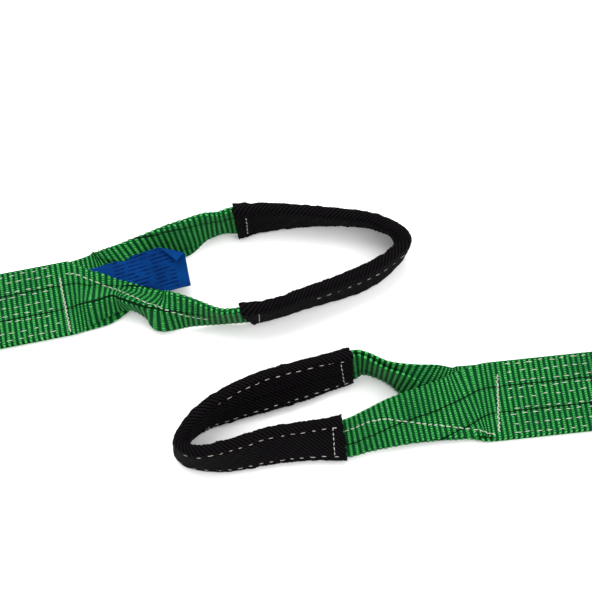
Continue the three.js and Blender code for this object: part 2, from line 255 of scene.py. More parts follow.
def make_floor():
    half = 6.0
    mesh = bpy.data.meshes.new("floor")
    corners = [(-half, -half, 0), (half, -half, 0), (half, half, 0), (-half, half, 0)]
    mesh.from_pydata(corners, [], [(0, 1, 2, 3)])
    floor = add_object("floor", mesh)
    material = bpy.data.materials.new("floor")
    material.use_nodes = True
    shader = material.node_tree.nodes["Principled BSDF"]
    shader.inputs["Base Color"].default_value = (0.93, 0.93, 0.93, 1.0)
    shader.inputs["Roughness"].default_value = 0.9
    shader.inputs["Specular IOR Level"].default_value = 0.1
    mesh.materials.append(material)


# ---- materials ----


class Nodes:
    """Short ways to add shader nodes to one material."""

    def __init__(self, name):
        self.material = bpy.data.materials.new(name)
        self.material.use_nodes = True
        self.tree = self.material.node_tree
        self.shader = self.tree.nodes["Principled BSDF"]

    def add(self, kind, **settings):
        node = self.tree.nodes.new(kind)
        for key, value in settings.items():
            setattr(node, key, value)
        return node

    def feed(self, socket, value):
        if isinstance(value, bpy.types.NodeSocket):
            self.tree.links.new(value, socket)
        else:
            socket.default_value = value

    def math(self, operation, *values, clamp=False):
        node = self.add("ShaderNodeMath", operation=operation, use_clamp=clamp)
        for socket, value in zip(node.inputs, values):
            self.feed(socket, value)
        return node.outputs[0]

    def mix(self, factor, first, second):
        node = self.add("ShaderNodeMix", data_type="RGBA")
        self.feed(node.inputs["Factor"], factor)
        self.feed(node.inputs["A"], first)
        self.feed(node.inputs["B"], second)
        return node.outputs["Result"]

    def tint(self, base, where, strength, over):
        """The base with another colour laid over it, this strongly, where a mask is."""
        return self.mix(self.math("MULTIPLY", where, strength), base, over)

    def noise(self, scale, detail):
        node = self.add("ShaderNodeTexNoise")
        self.feed(node.inputs["Vector"], self.cloth)
        node.inputs["Scale"].default_value = scale
        node.inputs["Detail"].default_value = detail
        return node.outputs["Fac"]

    def ramp(self, value, low, lit_bead_tops):
        node = self.add("ShaderNodeMapRange", interpolation_type="SMOOTHSTEP")
        self.feed(node.inputs["Value"], value)
        node.inputs["From Min"].default_value = low
        node.inputs["From Max"].default_value = lit_bead_tops
        return node.outputs["Result"]

    def stripes(self, value, pitch):
        """0 between two stripes and 1 on a stripe's middle."""
        return self.math("ABSOLUTE", self.math("SINE", self.math("MULTIPLY", value, math.pi / pitch)))

    def cloth_place(self):
        """Distance along and across the cloth, in millimetres, from the map that the mesh carries."""
        self.cloth = self.add("ShaderNodeUVMap", uv_map="cloth").outputs[0]
        parts = self.add("ShaderNodeSeparateXYZ")
        self.feed(parts.inputs[0], self.cloth)
        along = self.math("MULTIPLY", parts.outputs["X"], 1000.0)
        across = self.math("MULTIPLY", parts.outputs["Y"], 1000.0)
        return along, across

    def bump(self, height, distance, strength=1.0):
        node = self.add("ShaderNodeBump")
        self.feed(node.inputs["Height"], height)
        node.inputs["Distance"].default_value = distance
        node.inputs["Strength"].default_value = strength
        self.feed(self.shader.inputs["Normal"], node.outputs[0])

    def finish(self, colour, roughness, **constants):
        self.feed(self.shader.inputs["Base Color"], colour)
        self.feed(self.shader.inputs["Roughness"], roughness)
        for key, value in constants.items():
            self.shader.inputs[key.replace("_", " ")].default_value = value
        return self.material


def colour(red, green, blue):
    """An sRGB colour of 0 to 255 as the linear one that a shader takes."""
    def linear(c):
        c = c / 255
        return c / 12.92 if c <= 0.04045 else ((c + 0.055) / 1.055) ** 2.4
    return (linear(red), linear(green), linear(blue), 1.0)


def webbing_material():
    nodes = Nodes("green_webbing")
    along, across = nodes.cloth_place()
    rib = nodes.stripes(along, RIB_PITCH)
    on_rib = nodes.ramp(rib, 0.55, 0.92)
    fibres = nodes.noise(900.0, 3.0)
    patches = nodes.noise(34.0, 2.0)
    ragged = nodes.math("MULTIPLY_ADD", nodes.noise(420.0, 2.0), 1.2, across)
    bead = nodes.stripes(ragged, BEAD_PITCH)
    # The beads in the gaps between ribs sit halfway between the ribs' own beads.
    gap_bead = nodes.stripes(nodes.math("ADD", ragged, BEAD_PITCH / 2), BEAD_PITCH)
    # The ribs' bead tops, which are painted a pale green below: painted highlight.
    lit_bead_tops = nodes.math("MULTIPLY", on_rib, nodes.ramp(bead, 0.1, 0.9))
    low = nodes.math("MULTIPLY", nodes.math("SUBTRACT", 1.0, on_rib), gap_bead)
    # The gaps between the ribs are painted dark green, partly the weave's own colour and partly painted shade
    # in the valleys between the ribs.
    base = nodes.mix(low, colour(0, 18, 7), colour(1, 66, 30))
    base = nodes.tint(base, on_rib, 0.7, colour(1, 60, 26))
    base = nodes.tint(base, lit_bead_tops, 0.85, colour(56, 160, 74))
    # Paler glints on the lit bead tops: painted highlight.
    glints = nodes.math("MULTIPLY", nodes.ramp(fibres, 0.5, 0.72), lit_bead_tops)
    base = nodes.tint(base, glints, 0.75, colour(122, 210, 124))
    base = nodes.tint(base, nodes.ramp(patches, 0.42, 0.8), 0.45, colour(1, 56, 28))
    # The two black tracer yarns wander a little and dip between the ribs.
    wander = nodes.math("MULTIPLY_ADD", nodes.noise(120.0, 1.0), 1.6, -0.8)
    for line in BLACK_LINES:
        distance = nodes.math("ABSOLUTE", nodes.math("SUBTRACT", nodes.math("ADD", across, wander), line))
        on_line = nodes.math("SUBTRACT", 1.0, nodes.ramp(distance, 0.45, 0.85))
        base = nodes.tint(base, on_line, 0.92, colour(2, 20, 10))
    height = nodes.math("ADD", lit_bead_tops, nodes.math("MULTIPLY", low, 0.5))
    nodes.bump(nodes.math("MULTIPLY_ADD", fibres, 0.5, height), 0.0006)
    roughness = nodes.math("MULTIPLY_ADD", fibres, 0.25, 0.4)
    return nodes.finish(base, roughness, Specular_IOR_Level=0.025)


def sleeve_material():
    nodes = Nodes("black_sleeve_cloth")
    along, across = nodes.cloth_place()
    slanted = nodes.math("ADD", along, nodes.math("MULTIPLY", across, TWILL_SLANT))
    twill = nodes.stripes(slanted, TWILL_PITCH)
    yarn = nodes.stripes(across, 0.9)
    fibres = nodes.noise(700.0, 3.0)
    patches = nodes.noise(40.0, 3.0)
    weave = nodes.math("MULTIPLY", twill, nodes.math("MULTIPLY_ADD", yarn, 0.3, 0.7))
    # The twill's ridges are painted lighter than its furrows: the cloth's own near-black tone, with painted
    # highlight on the ridges and painted shade in the furrows.
    base = nodes.mix(nodes.ramp(weave, 0.35, 0.95), colour(0, 0, 0), colour(19, 16, 19))
    base = nodes.tint(base, nodes.ramp(patches, 0.4, 0.7), 0.4, colour(6, 4, 6))
    nodes.bump(nodes.math("MULTIPLY_ADD", fibres, 0.3, weave), 0.0006)
    roughness = nodes.math("MULTIPLY_ADD", fibres, 0.2, 0.62)
    return nodes.finish(base, roughness, Specular_IOR_Level=0.025)


def thread_material(name, tone):
    nodes = Nodes(name)
    along, across = nodes.cloth_place()
    twist = nodes.stripes(nodes.math("ADD", along, nodes.math("MULTIPLY", across, 0.5)), 0.55)
    fibres = nodes.noise(600.0, 2.0)
    worn = nodes.mix(nodes.ramp(fibres, 0.4, 0.7), tone, colour(168, 160, 146))
    # The grooves between the twist's strands are painted a darker grey: painted shade.
    base = nodes.mix(nodes.math("MULTIPLY_ADD", twist, -0.4, 0.4), worn, colour(120, 108, 100))
    nodes.bump(twist, 0.0002)
    return nodes.finish(base, 0.6, Sheen_Weight=0.1, Specular_IOR_Level=0.3)


def label_material():
    nodes = Nodes("blue_label_cloth")
    along, across = nodes.cloth_place()
    warp = nodes.stripes(along, 0.45)
    weft = nodes.stripes(across, 0.45)
    weave = nodes.math("MULTIPLY", warp, weft)
    patches = nodes.noise(45.0, 3.0)
    base = nodes.mix(nodes.ramp(patches, 0.3, 0.75), colour(0, 38, 92), colour(0, 52, 112))
    base = nodes.tint(base, weave, 0.18, colour(0, 78, 150))
    # Plain printed rules, as on a form that is not filled in.
    zigzag = nodes.math("PINGPONG", nodes.math("ADD", across, LABEL_WIDTH), LABEL_RULE_SPACING)
    from_rule = nodes.math("ABSOLUTE", nodes.math("SUBTRACT", zigzag, LABEL_RULE_SPACING / 2))
    rule = nodes.math("SUBTRACT", 1.0, nodes.ramp(from_rule, 0.3, 0.7))
    rule = nodes.math("MULTIPLY", rule, nodes.ramp(nodes.noise(160.0, 2.0), 0.38, 0.56))
    before_end = nodes.math("SUBTRACT", 1.0, nodes.ramp(along, 66.0, 66.6))
    inside = nodes.math("MULTIPLY", nodes.ramp(along, 18.0, 18.6), before_end)
    base = nodes.tint(base, nodes.math("MULTIPLY", rule, inside), 0.9, colour(0, 14, 52))
    nodes.bump(weave, 0.00015)
    return nodes.finish(base, 0.6, Specular_IOR_Level=0.04)


# ---- the body's course over the ground ----


class Course:
    """The body's straight runs and the corners at which it is folded over. Distance along starts at bar A."""

    def __init__(self):
        end = BARS["b"]["at"]
        headings = [BARS["a"]["heading"], 270.0, 0.0, 90.0, BARS["b"]["heading"] + 180.0]
        at, across, start = BARS["a"]["at"], left_of(heading(headings[0])), 0.0
        self.runs = []
        for k, degrees in enumerate(headings):
            run = {"from": at, "direction": heading(degrees), "across": across, "start": start}
            run["facing"] = 1 if k % 2 == 0 else -1
            run["drop"] = self.drop_start(run, self.runs[-1]) if k else None
            self.runs.append(run)
            if k == len(headings) - 1:
                run["length"] = (end - at) @ run["direction"]
                break
            following = heading(headings[k + 1])
            crease = unit(run["direction"] + following)
            ahead = unit(run["direction"] - crease * (run["direction"] @ crease))
            offset = ahead * math.pi * CORNER_RADIUS
            run["length"] = self.length_of(k, run, offset, following, end)
            corner = at + run["direction"] * run["length"]
            run["corner"] = {"at": corner, "crease": crease, "ahead": ahead}
            start += run["length"]
            at = corner + offset
            across = across - 2 * ahead * (across @ ahead)
        self.length = start + self.runs[-1]["length"]

    @staticmethod
    def length_of(k, run, offset, following, end):
        at, direction = run["from"], run["direction"]
        if k in (0, 2):
            goal = -SIDE_RUN_X if k == 0 else SIDE_RUN_X
            return (goal - offset[0] - at[0]) / direction[0]
        if k == 1:
            return (FRONT_RUN_Y - offset[1] - at[1]) / direction[1]
        to_end = end - at - offset
        return (to_end[0] * following[1] - to_end[1] * following[0]) / (
            direction[0] * following[1] - direction[1] * following[0])

    @staticmethod
    def drop_start(run, below):
        """The distance along a run at which its whole width has passed the edge of the run below it."""
        sideways = left_of(below["direction"])
        if sideways @ run["direction"] < 0:
            sideways = -sideways
        sine = sideways @ run["direction"]
        cosine = abs(run["direction"] @ below["direction"])
        edge = WEB_WIDTH / 2 * (1 + cosine) + CLEARANCE * 10
        return (edge - (run["from"] - below["from"]) @ sideways) / sine

    def place(self, along, across, normal):
        """The points at these distances along and across the body and out from its middle, all arrays."""
        points = np.zeros(along.shape + (3,))
        todo = np.ones(along.shape, bool)
        for run in self.runs:
            s = along - run["start"]
            dropped = 1.0 if run["drop"] is None else smooth_step((s - run["drop"]) / DESCENT_LENGTH)
            rise = normal * run["facing"]
            height = STACK_MIDDLE + 2 * CORNER_RADIUS * (1 - dropped) + rise
            flat = (run["from"] + s[..., None] * run["direction"] + across[..., None] * run["across"]
                    + height[..., None] * UP)
            if "corner" not in run:
                points[todo] = flat[todo]
                break
            corner = run["corner"]
            beyond = s - run["length"]
            past = beyond * (run["direction"] @ corner["ahead"]) + across * (run["across"] @ corner["ahead"])
            on_crease = (beyond * (run["direction"] @ corner["crease"])
                         + across * (run["across"] @ corner["crease"]))
            angle = past / CORNER_RADIUS
            radius = CORNER_RADIUS - rise
            bent = (corner["at"] + on_crease[..., None] * corner["crease"]
                    + (radius * np.sin(angle))[..., None] * corner["ahead"]
                    + (STACK_MIDDLE + CORNER_RADIUS - radius * np.cos(angle))[..., None] * UP)
            on_run = todo & (past <= 0)
            on_corner = todo & (past > 0) & (angle < math.pi)
            points[on_run] = flat[on_run]
            points[on_corner] = bent[on_corner]
            todo &= angle >= math.pi
        return points


COURSE = Course()
# The ribs' spacing is fitted to the body, so that each end's ribs meet the next piece's.
RIB_PITCH = COURSE.length / round(COURSE.length / NOMINAL_RIB_PITCH)


# ---- the eyes' course ----

# The steps across the web in which its folded section is worked out.
FOLD_STEPS = 240
# The shortest crease, and the width tucked away by which the tucked part lies flat.
LEAST_CREASE = 5.0
TUCK_EASE = 5.0
# Where a leg's ridge starts and where its top is, across the web, and how gently it turns there.
RIDGE_START = 17.0
RIDGE_TOP = 37.0
RIDGE_EASE = 6.0


def catmull_rom(values, position):
    last = len(values) - 1
    ends = ([2 * values[0] - values[1]], [2 * values[-1] - values[-2]])
    padded = np.concatenate([ends[0], values, ends[1]])
    k = np.clip(np.floor(position).astype(int), 0, last - 1)
    t = position - k
    p0, p1, p2, p3 = (padded[k + step] for step in range(4))
    bend = (2 * p0 - 5 * p1 + 4 * p2 - p3) * t * t
    return 0.5 * (2 * p1 + (p2 - p0) * t + bend + (3 * p1 - p0 - 3 * p2 + p3) * t ** 3)


def resting_height(width, thickness, roll):
    return (width * abs(math.sin(roll)) + thickness * abs(math.cos(roll))) / 2


def beside(frames, across, out):
    """The points this far across and out from the middle of each section."""
    return (frames["middle"][:, None, :] + across[..., None] * frames["across"][:, None, :]
            + out[..., None] * frames["normal"][:, None, :])


class Eye:
    """One eye's centre line, from its splice bar round the loop and back to the bar."""

    def __init__(self, name):
        rows, bar = EYES[name], BARS[name]
        self.name = name
        self.side = rows["side"]
        self.inward = -heading(bar["heading"])
        self.bar = bar["at"]
        self.flat_start = self.bar + self.inward * BEND_START
        x, y = self.flat_start[:2]
        upper = STACK_MIDDLE + PLY_PITCH / 2
        lower = STACK_MIDDLE - PLY_PITCH / 2
        near_end = [x, y, upper, 0, WEB_WIDTH, PLY_THICKNESS, 0]
        far_end = [x, y, lower, 180, WEB_WIDTH, PLY_THICKNESS, 0]
        sleeve = []
        for sx, sy, roll in rows["sleeve"]:
            z = resting_height(W, T, math.radians(roll)) + SLEEVE_LIFT
            sleeve.append([sx, sy, z, roll, W, T, 0])
        table = np.array([near_end, *rows["near"], *sleeve, *rows["far"], far_end], float)
        self.columns = table.T
        self.end = len(table) - 1
        fine = np.linspace(0, self.end, 6000)
        self.fine = fine
        self.distance = distances_along(self.section(fine)[:, :3])
        first = len(rows["near"]) + 1
        # The distances along the eye between which its sleeve runs.
        self.sleeve = np.interp([first, first + len(sleeve) - 1], fine, self.distance).tolist()

    def section(self, position):
        return np.stack([catmull_rom(column, position) for column in self.columns], axis=-1)

    def position_at(self, distance):
        return np.interp(distance, self.distance, self.fine)

    def frames(self, position):
        """Each position's middle, width direction, outward normal and section."""
        section = self.section(position)
        before = self.section(np.maximum(position - 0.8, 0))[:, :3]
        after = self.section(np.minimum(position + 0.8, self.end))[:, :3]
        along = unit(after - before)
        to_end = np.minimum(position, self.end - position)
        sign = np.where(position < self.end / 2, 1.0, -1.0)
        straight = self.inward[None, :] * sign[:, None]
        share = smooth_step(to_end / 2.0)[:, None]
        along = unit(straight * (1 - share) + along * share)
        outward = unit(np.cross(along, UP)) * self.side
        above = unit(UP - along * (along @ UP)[:, None])
        roll = np.radians(section[:, 3])[:, None]
        normal = above * np.cos(roll) + outward * np.sin(roll)
        across = unit(np.cross(normal, along)) * self.side
        return {"middle": section[:, :3], "along": along, "across": across, "normal": normal,
                "section": section}

    def starts_at_crease(self):
        """Whether the body's own place across starts from the selvedge nearer the crease."""
        run = COURSE.runs[0 if self.name == "a" else -1]
        towards_crease = self.frames(np.array([0.0]))["across"][0] * self.side
        return towards_crease @ run["across"] < 0

    def fold(self, section, v):
        """The web's folded shape in each section: across and out positions, and the surface's own normal.
        v runs across the web, from the selvedge nearer the crease."""
        width, thickness, tent = section[:, 4:5], section[:, 5:6], np.radians(section[:, 6:7])
        spacing = np.maximum((thickness - PLY_THICKNESS) / 2, 0.0)
        start = WEB_WIDTH - width + spacing - math.pi * spacing
        crease = start + math.pi * spacing / 2
        reach = np.maximum(math.pi * spacing, LEAST_CREASE)
        turned = math.pi * smooth_step((WEB_WIDTH - width) / TUCK_EASE)
        grid = np.linspace(0, WEB_WIDTH, FOLD_STEPS + 1)[None, :]
        angle = turned * smooth_step((crease + reach / 2 - grid) / reach)
        ridge_start = np.maximum(RIDGE_START, crease + reach / 2)
        rising = smooth_step((grid - ridge_start) / RIDGE_EASE)
        falling = 2 * smooth_step((grid - RIDGE_TOP) / RIDGE_EASE)
        angle = angle + tent * (rising - falling)
        step = WEB_WIDTH / FOLD_STEPS
        mean = (angle[:, 1:] + angle[:, :-1]) / 2
        at_crease = np.clip(np.round(crease / step).astype(int), 0, FOLD_STEPS)

        def from_crease(slopes):
            steps = np.cumsum(slopes * step, axis=1)
            run = np.concatenate([np.zeros((len(section), 1)), steps], axis=1)
            return run - np.take_along_axis(run, at_crease, 1)

        x, n = from_crease(np.cos(mean)), from_crease(np.sin(mean))
        # Turn the visible flap so that its far selvedge is level with its start.
        height = n[:, -1:] - spacing * (turned / math.pi)
        tilt = np.arctan2(height, x[:, -1:])
        x, n = x * np.cos(tilt) + n * np.sin(tilt), n * np.cos(tilt) - x * np.sin(tilt)
        angle = angle - tilt
        chord = x[:, -1:]
        at = np.clip(v / step, 0, FOLD_STEPS - 1e-6)
        low = np.floor(at).astype(int)
        share = at - low

        def pick(values):
            below = np.take_along_axis(values, low, 1)
            above = np.take_along_axis(values, low + 1, 1)
            return below * (1 - share) + above * share

        across = chord / 2 - pick(x)
        out = pick(n)
        slope = pick(angle)
        return across, out, slope

    def place(self, distance, v, normal):
        """The points of the web at these distances along the loop, across the web and out from its middle."""
        position = self.position_at(distance[:, 0])
        frames = self.frames(position)
        across, out, slope = self.fold(frames["section"], v)
        # The outer face's normal leans with the slope; across grows towards the crease on either side.
        across = across + normal * np.sin(slope)
        out = out + normal * np.cos(slope)
        return beside(frames, across * self.side, out)


# ---- meshes ----


def make_mesh(name, points, faces, cloth, material):
    """A mesh in the frame from points in the plan. cloth is each point's place along and across the cloth."""
    mesh = bpy.data.meshes.new(name)
    points = in_frame(points).astype(np.float32)
    faces = np.asarray(faces, np.int32)
    mesh.vertices.add(len(points))
    mesh.vertices.foreach_set("co", points.ravel())
    mesh.loops.add(faces.size)
    mesh.loops.foreach_set("vertex_index", faces.ravel())
    mesh.polygons.add(len(faces))
    mesh.polygons.foreach_set("loop_start", np.arange(0, faces.size, 4, dtype=np.int32))
    mesh.polygons.foreach_set("loop_total", np.full(len(faces), 4, np.int32))
    mesh.update(calc_edges=True)
    layer = mesh.uv_layers.new(name="cloth")
    layer.data.foreach_set("uv", (np.asarray(cloth, np.float32)[faces.ravel()] * MM).ravel())
    mesh.polygons.foreach_set("use_smooth", np.ones(len(faces), bool))
    mesh.materials.append(material)
    mesh.validate()
    return add_object(name, mesh)


def tube_sides(rings, count):
    ring, k = np.meshgrid(np.arange(rings - 1), np.arange(count), indexing="ij")
    a = ring * count + k
    b = ring * count + (k + 1) % count
    return np.stack([a, b, b + count, a + count], axis=-1).reshape(-1, 4)


def tube_faces(rings, count):
    """The sides of a closed tube of rings, and both of its ends as strips of quads."""
    half = count // 2
    i = np.arange(half - 1)
    cap = np.stack([i, i + 1, count - 2 - i, count - 1 - i], axis=-1)
    last = (rings - 1) * count
    return np.concatenate([tube_sides(rings, count), cap[:, ::-1], cap + last])


def outward(points, faces):
    """The faces, turned if they point in."""
    a, b, c = (points[faces[:, k]] for k in range(3))
    d = points[faces[:, 3]]
    volume = (a * np.cross(b, c)).sum() + (a * np.cross(c, d)).sum()
    return faces if volume > 0 else faces[:, ::-1]


def web_profile(columns):
    """Round the web's section: each point's place across the web, and its signed share of the thickness."""
    inner = np.linspace(SELVEDGE_ROUND, WEB_WIDTH - SELVEDGE_ROUND, columns)
    turn = np.radians([15.0, 40.0, 65.0])
    edge = SELVEDGE_ROUND * (1 - np.cos(turn))
    v = np.concatenate([edge, inner, WEB_WIDTH - edge[::-1]])
    half = np.concatenate([np.sin(turn), np.ones(columns), np.sin(turn)[::-1]])
    return np.concatenate([v, v[::-1]]), np.concatenate([half, -half[::-1]])


def web_piece(name, place, distances, along, columns, material):
    """A length of ribbed webbing. place gives a point from its distance, place across the web and height."""
    v, side = web_profile(columns)
    distance, across = np.meshgrid(distances, v, indexing="ij")
    rib_phase = np.repeat(along[:, None], len(v), axis=1)
    rib = np.sin(math.pi * rib_phase / RIB_PITCH) ** 2
    flatness = np.clip(np.abs(side)[None, :], 0.0, 1.0)
    fraying = 0.12 * np.sin(2 * math.pi * across / 7.3 + rib_phase * 0.9)
    height = side[None, :] * (PLY_THICKNESS / 2 - RIB_HEIGHT + RIB_HEIGHT * rib * (1 + fraying) * flatness)
    # The weft makes each rib end stand out a little at the selvedge.
    towards_edge = np.sign(across - WEB_WIDTH / 2) * (1 - flatness)
    across_out = across + 0.35 * rib * towards_edge
    points = place(distance, across_out, height).reshape(-1, 3)
    points[:, 2] = np.maximum(points[:, 2], FLOOR_GAP)
    faces = outward(points, tube_faces(len(distances), len(v)))
    cloth = np.stack([rib_phase, across], axis=-1).reshape(-1, 2)
    return make_mesh(name, points, faces, cloth, material)


FINE_STEP = RIB_PITCH / 8
COARSE_STEP = RIB_PITCH / 5


def body_place(level):
    middle = level * PLY_PITCH / 2

    def place(distance, v, normal):
        return COURSE.place(distance, v - WEB_WIDTH / 2, middle + normal)
    return place


def make_body(material):
    first, last = END_PIECE_REACH["a"], COURSE.length - END_PIECE_REACH["b"]
    distances = np.arange(first, last, COARSE_STEP)
    distances = np.append(distances, last)
    plies = (("body_lower_web", -1, "body_bottom_ply"), ("body_upper_web", 1, "body_top_ply"))
    for name, level, node in plies:
        piece = web_piece(name, body_place(level), distances, distances, 20, material)
        ride_as(piece, "sling_body", node)


def end_place(eye, level):
    """Places a point on the body up to the bar, and on the eye's leg past it. Distance 0 is at the bar."""
    on_body = body_place(level)
    forward = eye.starts_at_crease()

    def place(distance, v, normal):
        s = distance[:, 0]
        points = np.zeros(distance.shape + (3,))
        flat = s <= BEND_START
        outward_distance = -distance[flat] if eye.name == "a" else COURSE.length + distance[flat]
        # The crease side's selvedge is on the body's left at eye A's bar and on its right at eye B's.
        side = v[flat] if forward else WEB_WIDTH - v[flat]
        points[flat] = on_body(outward_distance, side, normal[flat])
        loop_distance = distance[~flat] - BEND_START
        if level < 0:
            loop_distance = eye.distance[-1] - loop_distance
        points[~flat] = eye.place(loop_distance, v[~flat], level * normal[~flat])
        return points
    return place


EYE_PATHS = {name: Eye(name) for name in EYES}
MOUTH_OVERLAP = 14.0


def bend_with_eye(piece, name, node):
    """The piece stands for this node, and its transform is baked into its mesh; the stretch past the splice
    bar where the eye lifts is worked out but not used to bend it.
    """
    eye = EYE_PATHS[name]
    height = HINGE_A["pos_m"][2] / MM
    start, end = (in_frame(eye.bar + eye.inward * reach + UP * height) for reach in (BEND_START, BEND_END))
    tuple(start)
    tuple(end)
    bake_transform(piece)
    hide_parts(node)


def make_legs(name, material):
    eye = EYE_PATHS[name]
    reach = END_PIECE_REACH[name]
    sleeve_start, sleeve_end = eye.sleeve
    near_length = BEND_START + sleeve_start + MOUTH_OVERLAP
    far_length = BEND_START + eye.distance[-1] - sleeve_end + MOUTH_OVERLAP
    for part, level, length in (("near", 1, near_length), ("far", -1, far_length)):
        distances = np.arange(-reach, length, FINE_STEP)
        piece = web_piece(f"eye_{name}_{part}_web", end_place(eye, level), distances, distances, 44, material)
        bend_with_eye(piece, name, f"eye_{name}_{part}_leg")

    first, last = sleeve_start + MOUTH_OVERLAP, sleeve_end - MOUTH_OVERLAP
    distances = np.arange(first, last, COARSE_STEP)
    along = distances + BEND_START
    piece = web_piece(f"eye_{name}_inner_web", eye.place, distances, along, 20, material)
    ride_as(piece, f"eye_{name}", f"eye_{name}_folded_web")


# ---- the sleeves ----

SLEEVE_POINTS = 96
SLEEVE_STEP = 0.7
SLEEVE_CORNER = 4.0
SEAM_OFFSET = 12.0
# How far a mouth's upper edge is drawn out past its middle, at the near mouth and the far one.
MOUTH_SLANT = {"a": (-4.5, 0.5), "b": (0.0, 1.0)}
MOUTH_PULL_REACH = 4.0


def sleeve_outline(count, half_width, half_thickness, corner):
    """A rounded flat section: points, outward directions and distance round, from the inner side's middle."""
    straight_u = half_width - corner
    straight_n = half_thickness - corner
    arc = math.pi * corner / 2
    # From the middle of the inner side to the first corner, and on round to that corner again.
    lengths = [straight_u, arc, 2 * straight_n, arc, 2 * straight_u, arc, 2 * straight_n, arc, 2 * straight_u]
    at = np.arange(count) * (sum(lengths) - straight_u) / count
    ends = np.cumsum([0.0, *lengths])
    points, directions = np.zeros((count, 2)), np.zeros((count, 2))
    for i, d in enumerate(at):
        k = int(np.searchsorted(ends, d, side="right")) - 1
        centre = np.array([[1, -1], [1, 1], [-1, 1], [-1, -1]][k // 2 % 4]) * [straight_u, straight_n]
        angle = math.pi / 2 * (k // 2 - 1) + (k % 2) * (d - ends[k]) / corner
        to_corner = 0.0 if k % 2 else ends[k + 1] - d
        directions[i] = [math.cos(angle), math.sin(angle)]
        points[i] = centre + corner * directions[i] + to_corner * directions[i, ::-1] * [1, -1]
    return points, directions, at


def sleeve_puff(eye, s, length, u, facing_out):
    """How far the sleeve's cloth stands out, in millimetres: pulled in at its stitching, puckered where it
    bends inward, loose at its mouths and thicker at its hems."""
    seed = 0.0 if eye.name == "a" else 2.1
    pulled = -0.55 * (np.exp(-((np.abs(u) - SEAM_OFFSET) / 1.3) ** 2))
    ripple = 0.28 * wavy(s, (11.3, 7.7, 17.9), (seed, 1.0 + seed, 2.0))
    cross = 0.22 * wavy(s + 0.8 * u, (9.1, 14.3), (1.4, seed))
    pucker = 0.45 * (1 - facing_out) * np.abs(wavy(s, (8.3, 5.9), (seed, 0.5)))
    to_mouth = np.minimum(s, length - s)
    flare = 0.5 * np.exp(-to_mouth / 3.0)
    hem = 0.6 * (1 - smooth_step((to_mouth - 8.5) / 3.0))
    return pulled + ripple + cross + pucker + flare + hem


def mouth_pull(name, s, length, u, around):
    """How far the cloth is drawn along the sleeve, which makes its two mouths slanted and ragged."""
    ragged = wavy(around, (23.0, 11.0, 6.1), (0.3, 1.9, 0.8))
    near, far = (slant * u / (SLEEVE_WIDTH / 2) for slant in MOUTH_SLANT[name])
    pull = np.where(s < length / 2, near + ragged, far - ragged)
    return pull * np.exp(-np.minimum(s, length - s) / MOUTH_PULL_REACH)


def open_wall_faces(rows, count):
    """The faces of an open tube's outer and inner walls, and of the rims between them."""
    sides = tube_sides(rows, count)
    inner = rows * count
    k = np.arange(count)
    following = (k + 1) % count
    rim_start = np.stack([k, k + inner, following + inner, following], axis=-1)
    rim_end = np.stack([k, following, following + inner, k + inner], axis=-1) + (rows - 1) * count
    return np.concatenate([sides, sides[:, ::-1] + inner, rim_start, rim_end])


def make_sleeve(name, material):
    eye = EYE_PATHS[name]
    first, last = eye.sleeve
    length = last - first
    rows = int(length / SLEEVE_STEP) + 1
    s = np.linspace(0.0, length, rows)
    frames = eye.frames(eye.position_at(first + s))
    outline, directions, around = sleeve_outline(
        SLEEVE_POINTS, SLEEVE_WIDTH / 2, SLEEVE_THICKNESS / 2, SLEEVE_CORNER)
    (u, n), (u_out, n_out) = outline.T[:, None], directions.T[:, None]
    puff = sleeve_puff(eye, s[:, None], length, u, (n_out + 1) / 2)
    twill = np.abs(np.sin(math.pi * (s[:, None] + TWILL_SLANT * around[None, :]) / TWILL_PITCH))
    puff = puff + TWILL_HEIGHT * (twill - 0.5)
    end_pull = mouth_pull(name, s[:, None], length, u, around[None, :])
    walls = []
    for wall in (0.0, -SLEEVE_WALL):
        shift = puff + wall
        wall_points = beside(frames, u + u_out * shift, n + n_out * shift)
        wall_points = wall_points + end_pull[..., None] * frames["along"][:, None, :]
        walls.append(wall_points.reshape(-1, 3))
    points = np.concatenate(walls)
    points[:, 2] = np.maximum(points[:, 2], FLOOR_GAP)
    faces = outward(points, open_wall_faces(rows, SLEEVE_POINTS))
    place = np.stack(np.meshgrid(s, around, indexing="ij"), axis=-1).reshape(-1, 2)
    cloth = np.concatenate([place, place])
    piece = make_mesh(f"eye_{name}_sleeve_cloth", points, faces, cloth, material)
    ride_as(piece, f"eye_{name}", f"eye_{name}_sleeve")


# ---- stitching ----

THREAD_SIDES = 6
THREAD_RINGS = 7
THREAD_SUNK = 0.1


def thread_piece(name, dashes, radius, material, arch):
    """Short threads as one mesh. Each dash, (start, end, normal), arches out of the cloth and back in."""
    points, faces, cloth = [], [], []
    base = 0
    template = tube_faces(THREAD_RINGS, THREAD_SIDES)
    share = np.linspace(0, 1, THREAD_RINGS)
    turns = np.arange(THREAD_SIDES) * 2 * math.pi / THREAD_SIDES
    for number, (start, end, normal) in enumerate(dashes):
        length = np.linalg.norm(end - start)
        along = (end - start) / length
        side = unit(np.cross(normal, along))
        lift = arch * np.sin(math.pi * share) - 0.45 * radius
        thick = radius * (0.55 + 0.45 * np.sin(math.pi * share) ** 0.5)
        centre = start + np.outer(share * length, along) + np.outer(lift, normal)
        ring = (centre[:, None, :] + thick[:, None, None] * (
            np.cos(turns)[None, :, None] * side + np.sin(turns)[None, :, None] * normal * 0.8))
        dash_points = ring.reshape(-1, 3)
        points.append(dash_points)
        faces.append(outward(dash_points, template) + base)
        base += len(dash_points)
        s = np.repeat(share * length + number * 1.7, THREAD_SIDES)
        cloth.append(np.stack([s, np.tile(turns * radius, THREAD_RINGS)], axis=-1))
    return make_mesh(name, np.concatenate(points), np.concatenate(faces), np.concatenate(cloth), material)


